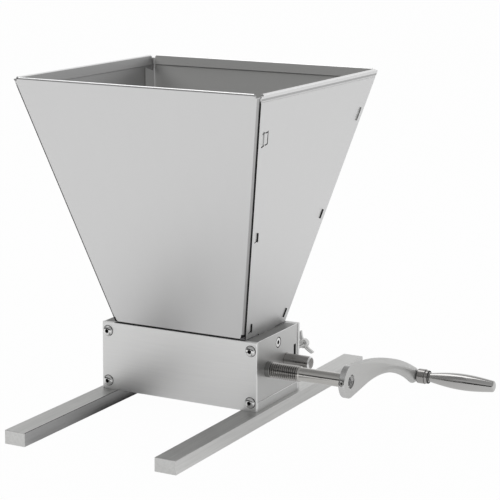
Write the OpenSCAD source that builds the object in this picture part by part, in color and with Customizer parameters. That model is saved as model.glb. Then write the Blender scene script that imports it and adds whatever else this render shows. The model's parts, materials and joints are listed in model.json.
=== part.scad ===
// Hand grain mill: two fluted rollers in a box of bolted plates on two rails,
// fed by a hopper of four slotted sheet panels and turned by a curved crank.
// X runs along the rollers with the crank at +X, Y runs to the back, Z is up.
// The origin lies on the floor under the middle of the roller box.

/* [Rollers] */
// Diameter of both rollers over their flutes
roller_d = 34; // [28:0.5:42]
// Length of both rollers
roller_len = 128; // [100:1:180]
// Gap between the rollers with the adjusting axle at rest
roller_gap = 1.4; // [1.3:0.1:2.5]
// How far the gap lies in front of the middle of the box
nip_front = 0; // [0:0.1:2]
// Number of flutes round a roller
flutes = 48; // [24:2:72]
// Depth of a flute
flute_depth = 0.9; // [0.4:0.1:1.5]
// Throw of the eccentric part of the adjusting axle
throw = 1; // [0.5:0.1:1]

/* [Roller box] */
// Room between the drive roller and the front plate
roller_room = 2.3; // [1:0.1:4]
// Room between the idle roller and the back plate
back_room = 5.3; // [4:0.1:10]
// Room between the end of a roller and its end plate
end_room = 2; // [1.8:0.1:4]
// Thickness of an end plate
end_t = 12; // [10:0.5:16]
// Thickness of the front plate
front_t = 3; // [2:0.5:5]
// Thickness of the back plate that the lock screws pass
back_t = 3; // [2:0.5:6]
// Height of the roller axes above the rails
axis_h = 33.5; // [30:0.5:44]
// Height of the box above the roller axes
head_room = 28.5; // [28:0.5:40]
// Height of the foot along the bottom of an end plate
foot_h = 8; // [5:0.5:12]
// How far the foot stands out from the face above it
foot_step = 0.6; // [0.4:0.1:1.5]
// Distance of a plate screw from the top and bottom edges
plate_screw_inset = 8; // [6:0.5:12]
// Broken edge on plates and rails
edge_break = 0.3; // [0.2:0.1:0.8]

/* [Rails] */
// Width of a rail
rail_w = 20; // [18:0.5:30]
// Height of a rail
rail_h = 12; // [10:0.5:16]
// Reach of the rails in front of the middle of the box
rail_front = 185; // [120:1:240]
// Reach of the rails behind the middle of the box
rail_back = 173; // [120:1:240]
// How far a rail stands out beyond the box
rail_out = 4.5; // [2:0.5:5.5]
// Distance of a rail bolt from the nearer edge of the end plate
rail_bolt_inset = 17; // [16:0.5:22]

/* [Hopper] */
// Width of the hopper over its rim
hopper_w = 236; // [200:1:300]
// Depth of the hopper over its rim
hopper_d = 229; // [160:1:280]
// Height of the hopper
hopper_h = 220.8; // [150:0.2:280]
// Gap between the hopper and the top of the box
hopper_lift = 0.8; // [0.5:0.1:3]
// Thickness of the hopper sheet
sheet_t = 1.2; // [0.8:0.1:1.6]
// Outer radius of the folded corners
bend_r = 2.4; // [2:0.1:4]
// Height of the rim hem folded inward
hem_h = 8; // [5:0.5:12]
// Width of the side flanges of the front and back panels
flange_w = 16; // [14:0.5:22]
// Drop of a flange below the rim
flange_drop = 15; // [10:0.5:25]
// Height of a lower tab through a side panel
tab_h = 8.5; // [6:0.5:10]
// Distance of the tabs from the corner edge
tab_inset = 11; // [8:0.5:12]
// Drop of the hopper screw below the top of the box
hopper_screw_drop = 9; // [8:0.5:9]
// How far the hopper screw lies behind the middle of the box
hopper_screw_back = 2; // [0:0.5:4]
// Width of the tongue that hangs into the box
tongue_w = 30; // [16:1:40]

/* [Shafts] */
// Diameter of the drive shaft in its bushes
journal_d = 14; // [13:0.5:16]
// Plain neck of the drive shaft outside the end plate
neck_len = 5.5; // [3:0.5:12]
// Threaded length of the drive shaft
thread_len = 26.5; // [12:0.5:30]
// Diameter of the drive shank and of the hub bore
shank_d = 12; // [10:0.5:12]
// Length of the shank between the thread and the crank hub
shank_len = 41.5; // [30:0.5:80]
// Diameter of the free stub of the adjusting axle
stub_d = 12; // [10:0.5:12.5]
// Length of the stub of the adjusting axle outside the end plate
stub_len = 24; // [12:1:32]
// Wall of a bronze bush
bush_wall = 3; // [2:0.5:3]
// Thickness of a bush flange
bush_flange_t = 1.2; // [0.8:0.1:1.4]

/* [Lock screws] */
// Diameter of the lock screw
lock_d = 5; // [4:0.5:5.5]
// Height of the lock screw above the axle
lock_rise = 3.5; // [0:0.5:4]
// Length of the lock screw between the back plate and its hub
lock_reach = 18; // [10:0.5:30]
// Diameter of the wing hub
wing_hub_d = 8.5; // [8:0.5:12]
// Length of the wing hub
wing_hub_len = 8; // [6:0.5:12]
// Span over both wings
wing_span = 24; // [20:1:34]
// Thickness of a wing
wing_t = 2.6; // [2:0.1:3.5]
// Turn of the wings from the level at rest
wing_turn = 56; // [0:1:180]

/* [Crank] */
// Diameter of the crank hub
hub_d = 29; // [26:0.5:36]
// Thickness of the crank hub
hub_t = 5.6; // [5.6:0.1:12]
// Depth of the shaft end below the hub face
shaft_recess = 1.8; // [0.5:0.1:2.5]
// Reach of the grip behind the drive shaft
crank_reach = 143; // [110:1:180]
// Drop of the grip below the drive shaft
crank_drop = 30; // [15:0.5:36]
// Straight length of the arm before its curve
arm_lead = 30; // [20:1:60]
// Width of the arm at its root
arm_root_w = 29; // [24:0.5:32]
// Width of the arm at its waist
arm_w = 12.6; // [10:0.2:16]
// Width of the arm at the grip
arm_end_w = 15; // [12:0.5:18]
// Thickness of the arm at the hub
arm_t = 5.4; // [4:0.1:5.6]
// Thickness of the arm at the grip
arm_end_t = 11; // [8:0.5:13]
// Diameter of the hub set screw
set_screw_d = 4; // [3:0.5:4]
// Tilt of the set screw above the level, in degrees
set_screw_tilt = 5; // [0:1:20]

/* [Grip] */
// Diameter of the spindle in the grip
spindle_d = 5; // [4:0.5:5.5]
// Length of the ferrule
ferrule_len = 11; // [9:0.5:16]
// Diameter of the ferrule
ferrule_d = 13.5; // [12.5:0.5:16]
// Length of the grip
grip_len = 63; // [50:1:100]
// Largest diameter of the grip
grip_d = 15; // [14:0.5:24]
// Diameter of the grip at its neck
neck_d = 8; // [8:0.2:11]
// Diameter of the grip at its rounded end
tip_d = 10.5; // [9:0.5:13]

/* [Hidden] */
// Fits and clearances
run_fit = 0.05;
press_fit = 0.01;
thread_fit = 0.05;
slip = 0.15;
side_play = 0.3;
sink = 0.01;

// Screws: shank, head diameter, head height and socket of the three kinds used
screw_d = 5;
screw_head_d = 9.5;
screw_head_h = 2.8;
screw_socket = 3;
screw_len = 14;
sunk_head_d = 9.6;
sunk_head_h = 2.4;
nut_af = 8;
nut_t = 4;
bolt_d = 6;
bolt_head_d = 10;
bolt_head_h = 6;
bolt_grip = 14;

// Roller box
roller_r = roller_d / 2;
half_pitch = (roller_d + roller_gap) / 2;
inner_w = roller_len + 2 * end_room;
inner_front = roller_gap / 2 + roller_d + nip_front + roller_room;
inner_back = roller_gap / 2 + roller_d - nip_front + back_room;
box_w = inner_w + 2 * end_t;
front_y = -inner_front - front_t;
back_y = inner_back + back_t;
box_h = axis_h + head_room;
box_top = rail_h + box_h;
face_x = box_w / 2 - foot_step;
mid_x = box_w / 2 - end_t / 2;
axis_z = rail_h + axis_h;
drive_y = -nip_front - half_pitch;
axle_y = -nip_front + half_pitch;
idle_z = axis_z + throw;
screw_heights = [rail_h + plate_screw_inset, box_top - plate_screw_inset];
rail_bolt_y = inner_front - rail_bolt_inset;

// Shafts and bushes
bush_d = journal_d + 2 * bush_wall;
bush_flange_d = bush_d + 3;
thread_d = journal_d - 1;
lip_t = 2;
lip_d = journal_d + 4 * run_fit;
seat_d = stub_d + 1;
core_d = seat_d + 2 * throw + 1;
idle_bush_d = core_d + 2 * bush_wall - 2;
idle_bush_len = 18;
idle_flange_d = idle_bush_d + 3;
core_room = 0.5;
thread_x = box_w / 2 + neck_len;
shank_x = thread_x + thread_len;
hub_x = shank_x + shank_len;
hub_face_x = hub_x + hub_t;
shaft_chamfer = 0.8;

// Hopper: half sizes over its outer faces, slopes and slant lengths of its walls
hopper_fit = 0.1;
hopper_z = box_top + hopper_lift;
foot_half_w = inner_w / 2 - hopper_fit;
foot_half_d = inner_front + front_t - 2 * hopper_fit;
side_slope = atan((hopper_w / 2 - foot_half_w) / hopper_h);
front_slope = atan((hopper_d / 2 - foot_half_d) / hopper_h);
side_slant = hopper_h / cos(side_slope);
front_slant = hopper_h / cos(front_slope);
corner_angle = acos(sin(side_slope) * sin(front_slope));
bend_set = bend_r * tan(corner_angle / 2);
face_lean = atan((hopper_w / 2 - foot_half_w) / front_slant);
hem_gap = 0.5;
hem_depth = 2 * sheet_t + hem_gap;
hem_inset = hem_depth / cos(front_slope) + hem_h * sin(front_slope) + side_play;
corner_r = 1.5;
fold_lap = 1;
fold_drop = 2;
bend_lip = 0.5;
crease_drop = 5.5;
crease_w = 0.9;
crease_depth = sheet_t / 3;
tab_shares = [0.043, 0.436, 0.833];
tab_growth = [1, 1, 1.45];
tab_t = sheet_t;
tab_proud = 0.8;
tongue_edge = 6;
hopper_screw_z = box_top - hopper_screw_drop;
tongue_z = hopper_screw_z - tongue_edge;

// Lock screws
lock_z = axis_z + lock_rise;
slot_w = 4.2;
slot_h = 14;
slot_y = inner_back - 5.4;
lock_nut_len = lock_d + 2.2;
slot_depth = face_x - mid_x + lock_nut_len / 2 + slip;
lock_tip_y = axle_y + seat_d / 2 + side_play;
wing_hub_y = back_y + lock_reach;

// Crank: the arm runs straight for its lead, then along an arc to the grip
arc_dy = crank_reach - arm_lead;
arc_r = (arc_dy * arc_dy + crank_drop * crank_drop) / (2 * crank_drop);
arc_angle = asin(arc_dy / arc_r);
arc_len = arc_r * arc_angle * PI / 180;
arm_len = arm_lead + arc_len;
arm_x = hub_x + hub_t / 2;
grip_y = drive_y + crank_reach;
grip_z = axis_z - crank_drop;
arm_out_x = arm_x + arm_end_t / 2;
ferrule_x = arm_out_x + side_play;
grip_x = ferrule_x + ferrule_len;
grip_end_x = grip_x + grip_len;
collar_d = ferrule_d - 4;
collar_t = 2;
set_screw_sink = 0.6;
ferrule_wall = 3;
spindle_stop = 14;
spindle_reach = grip_len - spindle_stop;

steel = [0.75, 0.75, 0.74];
bright = [0.85, 0.85, 0.84];
bronze = [0.72, 0.55, 0.30];
dark = [0.45, 0.45, 0.45];

$fn = 64;

// Axis helpers: a cylinder along X or Y from a starting point
module rod_x(x, y, z, d, len) {
    translate([x, y, z]) rotate([0, 90, 0]) cylinder(d = d, h = len);
}

module rod_y(x, y, z, d, len) {
    translate([x, y, z]) rotate([-90, 0, 0]) cylinder(d = d, h = len);
}

// Profile in radius and X turned about a line along X
module turned(y, z) {
    translate([0, y, z]) rotate([0, 90, 0]) rotate_extrude() children();
}

// Rectangle with broken corners
module broken_rect(a, b, c) {
    polygon([[c, 0], [a - c, 0], [a, c], [a, b - c], [a - c, b], [c, b], [0, b - c], [0, c]]);
}

// Bar or plate with all twelve edges broken
module broken_block(size, c) {
    intersection() {
        linear_extrude(size.z) broken_rect(size.x, size.y, c);
        translate([0, size.y, 0]) rotate([90, 0, 0]) linear_extrude(size.y) broken_rect(size.x, size.z, c);
        rotate([90, 0, 90]) linear_extrude(size.x) broken_rect(size.y, size.z, c);
    }
}

// Button-head screw along +Y with its head on the plane y = 0
module button_screw() {
    head_r = screw_head_d / 2;
    ball_r = (head_r * head_r + screw_head_h * screw_head_h) / (2 * screw_head_h);
    difference() {
        union() {
            rotate([90, 0, 0]) rotate_extrude() intersection() {
                translate([0, screw_head_h - ball_r]) circle(ball_r);
                square([head_r, screw_head_h]);
            }
            rod_y(0, 0, 0, screw_d, screw_len);
        }
        rotate([90, 0, 0]) translate([0, 0, screw_head_h - 1.8])
            cylinder(d = screw_socket * 2 / sqrt(3), h = 3, $fn = 6);
    }
}

// Places of the four screws of the front or back plate
module at_plate_screws() {
    for (side = [-1, 1], z = screw_heights) translate([side * mid_x, 0, z]) children();
}

// Hopper frames: local x runs along the wall, y up its slope and z outward
module side_frame(side) {
    mirror([side < 0 ? 1 : 0, 0, 0])
        translate([foot_half_w, 0, hopper_z]) rotate([0, side_slope, 0]) rotate([90, 0, 90]) children();
}

module front_frame(back) {
    mirror([0, back ? 1 : 0, 0])
        translate([0, -foot_half_d, hopper_z]) rotate([front_slope, 0, 0]) rotate([90, 0, 0]) children();
}

// Outline of a wall with rounded lower corners: half widths at foot and rim, slant length
module wall_outline(foot, rim, len) {
    steps = 8;
    lean = atan((rim - foot) / len);
    cx = foot - corner_r * (1 / cos(lean) - tan(lean));
    arc = [for (i = [0 : steps]) let (a = (90 - lean) * i / steps - 90)
        [cx + corner_r * cos(a), corner_r + corner_r * sin(a)]];
    polygon(concat(arc, [[rim, len], [-rim, len]], [for (i = [steps : -1 : 0]) [-arc[i].x, arc[i].y]]));
}

// Points of an arc about a centre, in equal steps of angle
function arc_points(centre, r, from, to, steps) =
    [for (i = [0 : steps]) let (a = from + (to - from) * i / steps) centre + r * [cos(a), sin(a)]];

// Hem at the rim, folded inward: a lap on the wall, a half round and a return strip below it
module hem(half, len) {
    middle = [0, -hem_depth / 2];
    translate([-half, len, 0]) rotate([90, 0, 90]) linear_extrude(2 * half) polygon(concat(
        [[-fold_lap, 0]], arc_points(middle, hem_depth / 2, 90, -90, 12),
        [[-hem_h, -hem_depth], [-hem_h, -hem_depth + sheet_t]],
        arc_points(middle, hem_gap / 2, -90, 90, 6), [[-fold_lap, -sheet_t]]));
}

// Half width of a side wall at a height up its slope
function wall_half(v) = foot_half_d + (hopper_d / 2 - foot_half_d) * v / side_slant;

// Blocks at the places of the tabs: thickness and room round it, lowest and highest face
module at_tabs(ends, t, room, low, high) {
    lean = atan((hopper_d / 2 - foot_half_d) / side_slant);
    for (e = ends, i = [0 : len(tab_shares) - 1]) {
        v = side_slant * tab_shares[i];
        h = tab_h * tab_growth[i] + 2 * room;
        translate([e * (wall_half(v) - tab_inset), v, low]) rotate([0, 0, -e * lean])
            translate([-t / 2 - room, -h / 2, 0]) cube([t + 2 * room, h, high - low]);
    }
}

// Left or right hopper wall with slots for the tabs and a tongue into the box
module hopper_side(side) {
    color(steel) difference() {
        union() {
            side_frame(side) translate([0, 0, -sheet_t]) linear_extrude(sheet_t)
                wall_outline(foot_half_d - bend_set, hopper_d / 2 - bend_set, side_slant);
            side_frame(side) hem(hopper_d / 2 - hem_inset, side_slant);
            mirror([side < 0 ? 1 : 0, 0, 0])
                translate([foot_half_w - sheet_t, hopper_screw_back - tongue_w / 2, tongue_z])
                    cube([sheet_t, tongue_w, hopper_z - tongue_z + sheet_t]);
        }
        side_frame(side) at_tabs([-1, 1], tab_t, slip, -2 * sheet_t, sheet_t);
        side_frame(side) translate([-hopper_d / 2, side_slant - crease_drop, -crease_depth])
            cube([hopper_d, crease_w, 2 * sheet_t]);
        mirror([side < 0 ? 1 : 0, 0, 0])
            rod_x(foot_half_w - 2 * sheet_t, hopper_screw_back, hopper_screw_z,
                  screw_d + 2 * slip, 4 * sheet_t);
        translate([0, 0, hopper_z]) mirror([side < 0 ? 1 : 0, 0, 0])
            translate([foot_half_w, -hopper_d, -box_h]) cube([end_t, 2 * hopper_d, box_h]);
    }
}

// Section of a folded corner: a lap on the wall, the bend and the flange strip
module fold_section() {
    centre = [-bend_set, -bend_r];
    stop = 90 - corner_angle;
    along = (flange_w - bend_set) * [sin(stop), -cos(stop)];
    outer = arc_points(centre, bend_r, 90, stop, 10);
    inner = arc_points(centre, bend_r - sheet_t, stop, 90, 10);
    polygon(concat([[-bend_set - fold_lap, 0]], outer, [outer[10] + along, inner[0] + along],
                   inner, [[-bend_set - fold_lap, -sheet_t]]));
}

// Folded corner from the top of the bend downward, with the flange cut away near the rim
module folded_corner(len, bare) {
    difference() {
        linear_extrude(len) fold_section();
        translate([-bend_set, -bend_r, -1]) linear_extrude(bare + 1) rotate(-corner_angle)
            translate([bend_lip, bend_r - 2 * sheet_t]) square([2 * flange_w, 3 * sheet_t]);
    }
}

// Front or back hopper wall, folded at both sides into flanges that lie inside the side walls
module hopper_face(back) {
    inset = (sheet_t + slip) / cos(side_slope);
    narrow = inset + (bend_set + fold_lap / 2) / cos(face_lean);
    fold_foot = corner_r + bend_lip;
    bend_top = (front_slant - fold_drop) / cos(face_lean);
    color(steel) union() {
        front_frame(back) translate([0, 0, -sheet_t])
            linear_extrude(sheet_t) wall_outline(foot_half_w - narrow, hopper_w / 2 - narrow, front_slant);
        front_frame(back) hem(hopper_w / 2 - hem_inset, front_slant);
        for (side = [0, 1]) front_frame(back) mirror([side, 0, 0])
            translate([foot_half_w - inset, 0, 0]) rotate([0, 0, -face_lean])
                translate([0, bend_top, 0]) rotate([90, 0, 0])
                    folded_corner(bend_top - fold_foot, flange_drop - fold_drop);
        for (side = [-1, 1]) mirror([0, back ? 1 : 0, 0]) side_frame(side)
            at_tabs([-1], tab_t, 0, -sheet_t - slip - sink, tab_proud);
    }
}

module hopper_front() { hopper_face(false); }
module hopper_back() { hopper_face(true); }
module hopper_left() { hopper_side(-1); }
module hopper_right() { hopper_side(1); }

// Front or back plate with four screw holes, the back one with two for the lock screws
module cover_plate(y, t) {
    color(steel) difference() {
        translate([-box_w / 2, y, rail_h]) broken_block([box_w, t, box_h], edge_break);
        at_plate_screws() rod_y(0, y - t, 0, screw_d + 2 * slip, 3 * t);
    }
}

module front_plate() { cover_plate(front_y, front_t); }
module back_plate() {
    color(steel) difference() {
        cover_plate(inner_back, back_t);
        for (x = [-mid_x, mid_x]) rod_y(x, axle_y, lock_z, lock_d + 2 * slip, inner_back);
    }
}

// Right end plate: foot, drive bore with lip, axle bore, nut slot and screw holes
module end_plate() {
    depth = inner_front + inner_back;
    hole_len = screw_len - min(front_t, back_t) + side_play;
    color(bright) difference() {
        translate([box_w / 2 - end_t, -inner_front, rail_h]) union() {
            broken_block([end_t - foot_step, depth, box_h], edge_break);
            broken_block([end_t, depth, foot_h], edge_break);
        }
        rod_x(box_w / 2 - end_t - 1, drive_y, axis_z, bush_d, end_t - lip_t + 1 - foot_step);
        rod_x(box_w / 2 - end_t - 1, drive_y, axis_z, lip_d, end_t + 2);
        rod_x(box_w / 2 - end_t - 1, axle_y, axis_z, seat_d + 2 * run_fit, end_t + 2);
        translate([face_x - slot_depth, slot_y - slot_w / 2, lock_z - slot_h / 2])
            cube([slot_depth + 1, slot_w, slot_h]);
        rod_y(mid_x, axle_y, lock_z, lock_d + 2 * slip, inner_back);
        rod_x(box_w / 2 - end_t - 1, hopper_screw_back, hopper_screw_z, screw_d + 2 * slip, end_t + 2);
        translate([face_x + sink, hopper_screw_back, hopper_screw_z]) rotate([0, -90, 0])
            cylinder(d1 = sunk_head_d + 2 * slip, d2 = screw_d, h = sunk_head_h + slip);
        for (z = screw_heights) {
            rod_y(mid_x, -inner_front - 1, z, screw_d + 2 * thread_fit, hole_len + 1);
            rod_y(mid_x, inner_back - hole_len, z, screw_d + 2 * thread_fit, hole_len + 1);
        }
        for (s = [-1, 1]) translate([mid_x, s * rail_bolt_y, rail_h - 1])
            cylinder(d = bolt_d + 2 * thread_fit, h = bolt_grip + 2);
    }
}

module end_plate_right() { end_plate(); }
module end_plate_left() { mirror([1, 0, 0]) end_plate(); }

// Rail with counterbored bolt holes from below
module base_rail() {
    x = box_w / 2 + rail_out - rail_w;
    color(steel) difference() {
        translate([x, -rail_front, 0]) broken_block([rail_w, rail_front + rail_back, rail_h], edge_break);
        for (s = [-1, 1]) translate([mid_x, s * rail_bolt_y, -1]) {
            cylinder(d = bolt_d + 2 * slip, h = rail_h + 2);
            cylinder(d = bolt_head_d + 2 * side_play, h = bolt_head_h + 1 + side_play);
        }
    }
}

module base_rail_right() { base_rail(); }
module base_rail_left() { mirror([1, 0, 0]) base_rail(); }

module front_plate_screws() {
    color(bright) translate([0, front_y, 0]) at_plate_screws() button_screw();
}

module back_plate_screws() {
    color(bright) translate([0, back_y, 0]) mirror([0, 1, 0]) at_plate_screws() button_screw();
}

// Countersunk screws from the end plates through the hopper tongues
module hopper_screws() {
    inner_x = foot_half_w - sheet_t - nut_t - 1;
    color(bright) for (m = [0, 1]) mirror([m, 0, 0]) difference() {
        union() {
            rod_x(inner_x, hopper_screw_back, hopper_screw_z, screw_d, face_x - inner_x - sink);
            translate([face_x, hopper_screw_back, hopper_screw_z]) rotate([0, -90, 0])
                cylinder(d1 = sunk_head_d, d2 = screw_d, h = sunk_head_h);
        }
        translate([face_x - 1.8, hopper_screw_back, hopper_screw_z]) rotate([0, 90, 0])
            cylinder(d = screw_socket * 2 / sqrt(3), h = 3, $fn = 6);
    }
}

module hopper_nuts() {
    color(bright) for (m = [0, 1]) mirror([m, 0, 0]) difference() {
        translate([foot_half_w - sheet_t - nut_t, hopper_screw_back, hopper_screw_z]) rotate([0, 90, 0])
            rotate([0, 0, 30]) cylinder(d = nut_af * 2 / sqrt(3), h = nut_t, $fn = 6);
        rod_x(foot_half_w - sheet_t - nut_t - 1, hopper_screw_back, hopper_screw_z,
              screw_d + 2 * thread_fit, nut_t + 2);
    }
}

// Socket-head bolts from below the rails into the end plates
module rail_bolts() {
    head_z = side_play;
    color(dark) for (x = [-mid_x, mid_x], s = [-1, 1]) translate([x, s * rail_bolt_y, 0]) difference() {
        union() {
            translate([0, 0, head_z]) cylinder(d = bolt_head_d, h = bolt_head_h);
            translate([0, 0, head_z]) cylinder(d = bolt_d, h = rail_h + bolt_grip);
        }
        translate([0, 0, head_z - 1]) cylinder(d = bolt_d, h = 4, $fn = 6);
    }
}

// Flanged bronze bush of the drive shaft
module drive_bush() {
    inner_x = inner_w / 2;
    lap = bush_flange_t / 2;
    color(bronze) difference() {
        union() {
            rod_x(inner_x - lap, drive_y, axis_z, bush_d - 2 * press_fit,
                  lap + end_t - lip_t - foot_step - sink);
            rod_x(inner_x - bush_flange_t, drive_y, axis_z, bush_flange_d, bush_flange_t);
        }
        rod_x(inner_x - end_t, drive_y, axis_z, journal_d + 2 * run_fit, 3 * end_t);
    }
}

module drive_bush_right() { drive_bush(); }
module drive_bush_left() { mirror([1, 0, 0]) drive_bush(); }

// Captive nut plates for the lock screws
module lock_nuts() {
    color(dark) for (m = [0, 1]) mirror([m, 0, 0]) difference() {
        translate([mid_x - lock_nut_len / 2, slot_y - slot_w / 2 + slip / 2, lock_z - slot_h / 2 + slip])
            cube([lock_nut_len, slot_w - slip, slot_h - 2 * slip]);
        rod_y(mid_x, slot_y - slot_w, lock_z, lock_d + 2 * run_fit, 2 * slot_w);
    }
}

// Fluted roller along X, centred on its middle
module fluted_roller(bore) {
    step = 360 / flutes;
    rotate([0, 90, 0]) difference() {
        linear_extrude(roller_len, center = true) polygon([for (i = [0 : flutes - 1], k = [0, 1, 2])
            let (r = k == 2 ? roller_r - flute_depth : roller_r, a = step * (i + [0, 0.45, 0.72][k]))
            [r * cos(a), r * sin(a)]]);
        translate([0, 0, -roller_len]) cylinder(d = bore, h = 2 * roller_len);
    }
}

module drive_roller() {
    color(steel) translate([0, drive_y, axis_z]) fluted_roller(journal_d + 2 * press_fit);
}

// Drive shaft: bush journals, neck, threaded length and shank up to the crank hub
module drive_shaft() {
    left_x = -face_x + lip_t + 0.5;
    end_x = hub_face_x - shaft_recess;
    color(bright) turned(drive_y, axis_z) polygon([
        [0, left_x], [journal_d / 2 - shaft_chamfer, left_x], [journal_d / 2, left_x + shaft_chamfer],
        [journal_d / 2, thread_x], [thread_d / 2, thread_x], [thread_d / 2, shank_x],
        [shank_d / 2, shank_x], [shank_d / 2, end_x - shaft_chamfer],
        [shank_d / 2 - shaft_chamfer, end_x], [0, end_x]]);
}

// Centreline of the crank arm in Y and Z from the drive shaft, and its direction
function arm_bend(s) = s <= arm_lead ? 0 : (s - arm_lead) / arc_r * 180 / PI;
function arm_point(s) = s <= arm_lead ? [s, 0]
    : [arm_lead + arc_r * sin(arm_bend(s)), -arc_r * (1 - cos(arm_bend(s)))];

// Width, thickness and squareness of the arm along its length
function ease(t) = let (c = min(max(t, 0), 1)) c * c * (3 - 2 * c);
function arm_width(s) = let (a = max(1 - s / (0.62 * arm_len), 0), b = max((s / arm_len - 0.68) / 0.32, 0))
    arm_w + (arm_root_w - arm_w) * pow(a, 1.5) + (arm_end_w - arm_w) * b * b;
function arm_thick(s) = arm_t + (arm_end_t - arm_t) * ease((s / arm_len - 0.25) / 0.6);
function arm_square(s) = 5 - 2.7 * ease((s / arm_len - 0.15) / 0.55);
function arm_cap(s) = s <= arm_len ? 1 : sqrt(max(1 - pow((s - arm_len) / (arm_end_w / 2), 2), 0.0004));
function bent_power(c, n) = sign(c) * pow(abs(c), 2 / n);

// Lofted arm: rounded sections square to the centreline, closed by a round end
module arm_loft() {
    sides = 28;
    body_steps = 26;
    cap_steps = 5;
    start = hub_d / 4;
    stations = concat([for (i = [0 : body_steps]) start + (arm_len - start) * i / body_steps],
                      [for (i = [1 : cap_steps]) arm_len + arm_end_w / 2 * sin(90 * i / cap_steps)]);
    rings = [for (s = stations) let (p = arm_point(min(s, arm_len)), tilt = arm_bend(min(s, arm_len)),
                                     over = max(s - arm_len, 0), n = arm_square(s),
                                     w = arm_width(min(s, arm_len)) / 2 * arm_cap(s),
                                     t = arm_thick(min(s, arm_len)) / 2 * max(arm_cap(s), 0.35))
        [for (k = [0 : sides - 1]) let (a = 360 * k / sides, across = w * bent_power(sin(a), n),
                                        out = t * bent_power(cos(a), n))
            [out, p[0] + over * cos(tilt) + across * sin(tilt),
             p[1] - over * sin(tilt) + across * cos(tilt)]]];
    last = len(rings) - 1;
    points = [for (ring = rings) for (q = ring) q];
    walls = [for (i = [0 : last - 1], k = [0 : sides - 1])
        let (a = i * sides + k, b = i * sides + (k + 1) % sides)
        for (f = [[a, b, a + sides], [b, b + sides, a + sides]]) f];
    first_cap = [for (k = [sides - 1 : -1 : 0]) k];
    last_cap = [for (k = [0 : sides - 1]) last * sides + k];
    polyhedron(points = points, faces = concat([first_cap], walls, [last_cap]), convexity = 6);
}

// Place of the set screw: local -y points out through the hub's front rim
module set_screw_frame() {
    translate([arm_x, drive_y, axis_z]) rotate([-set_screw_tilt, 0, 0]) children();
}

module crank_arm() {
    color(steel) difference() {
        union() {
            rod_x(hub_x, drive_y, axis_z, hub_d, hub_t);
            translate([arm_x, drive_y, axis_z]) arm_loft();
        }
        rod_x(hub_x - hub_t, drive_y, axis_z, shank_d + 2 * run_fit, 3 * hub_t);
        set_screw_frame() rod_y(0, -hub_d, 0, set_screw_d + 2 * thread_fit, hub_d);
        rod_x(arm_x - arm_end_t, grip_y, grip_z, spindle_d + 2 * press_fit, 2 * arm_end_t);
    }
}

module crank_set_screw() {
    head = hub_d / 2 - set_screw_sink;
    color(dark) set_screw_frame() difference() {
        rod_y(0, -head, 0, set_screw_d, head - shank_d / 2 - slip);
        rod_y(0, -head - 1, 0, set_screw_d * 0.58, 3, $fn = 6);
    }
}

// Spindle riveted through the arm, with a collar that holds the ferrule
module grip_spindle() {
    rivet_x = arm_x - arm_end_t / 2;
    collar_x = ferrule_x + ferrule_wall + side_play;
    color(bright) union() {
        rod_x(rivet_x - 1.2, grip_y, grip_z, spindle_d, grip_x + spindle_reach - rivet_x + 1.2);
        rod_x(collar_x, grip_y, grip_z, collar_d, collar_t);
        translate([rivet_x, grip_y, grip_z]) rotate([0, -90, 0])
            cylinder(d1 = spindle_d + 3, d2 = spindle_d, h = 1.2);
    }
}

// Ferrule: a turned cup over the spindle collar, with a bevelled outer edge
module grip_ferrule() {
    r = ferrule_d / 2;
    inner = collar_d / 2 + side_play;
    bore = spindle_d / 2 + slip;
    color(bright) turned(grip_y, grip_z) polygon([
        [bore, ferrule_x], [r - 0.5, ferrule_x], [r, ferrule_x + 0.5], [r, grip_x - 3.5],
        [r - 0.6, grip_x - 2.5], [r - 0.6, grip_x - 0.6], [r - 1.2, grip_x], [inner, grip_x],
        [inner, ferrule_x + ferrule_wall], [bore, ferrule_x + ferrule_wall]]);
}

// Grip: a spindle of two long arcs with a rounded end, bored for the spindle
function grip_radius(t) = let (peak = 0.54)
    t < peak ? neck_d / 2 + (grip_d - neck_d) / 2 * sin(90 * t / peak)
             : tip_d / 2 + (grip_d - tip_d) / 2 * cos(90 * (t - peak) / (1 - peak));

module crank_grip() {
    steps = 28;
    round_r = 2;
    plug_r = collar_d / 2;
    body_len = grip_len - round_r;
    bore_r = spindle_d / 2 + slip;
    color(bright) turned(grip_y, grip_z) difference() {
        union() {
            polygon(concat([[0, grip_x + sink]],
                [for (i = [0 : steps]) [grip_radius(i / steps), grip_x + sink + body_len * i / steps]],
                [for (a = [20 : 20 : 80])
                    [tip_d / 2 - round_r + round_r * cos(a), grip_end_x - round_r + round_r * sin(a)]],
                [[0, grip_end_x]]));
            translate([0, grip_x - 3]) square([plug_r, 3 + 2 * sink]);
        }
        translate([-1, grip_x - 4]) square([bore_r + 1, spindle_reach + 5]);
    }
}

// Adjusting axle: journals on one line and an eccentric core between the end plates
module gap_axle() {
    left_x = -face_x + 0.5;
    stub_x = face_x + side_play;
    right_x = box_w / 2 + stub_len;
    chamfer = 1.2;
    core_half = inner_w / 2 - core_room;
    color(bright) union() {
        turned(axle_y, axis_z) polygon([
            [0, left_x], [seat_d / 2 - chamfer, left_x], [seat_d / 2, left_x + chamfer],
            [seat_d / 2, stub_x], [stub_d / 2, stub_x],
            [stub_d / 2, right_x - chamfer], [stub_d / 2 - chamfer, right_x], [0, right_x]]);
        rod_x(-core_half, axle_y, idle_z, core_d, 2 * core_half);
    }
}

module idle_roller() {
    color(steel) translate([0, axle_y, idle_z]) difference() {
        fluted_roller(core_d + 2);
        for (s = [0, 1]) mirror([s, 0, 0])
            rod_x(roller_len / 2 - idle_bush_len, 0, 0, idle_bush_d, idle_bush_len + 1);
    }
}

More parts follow.
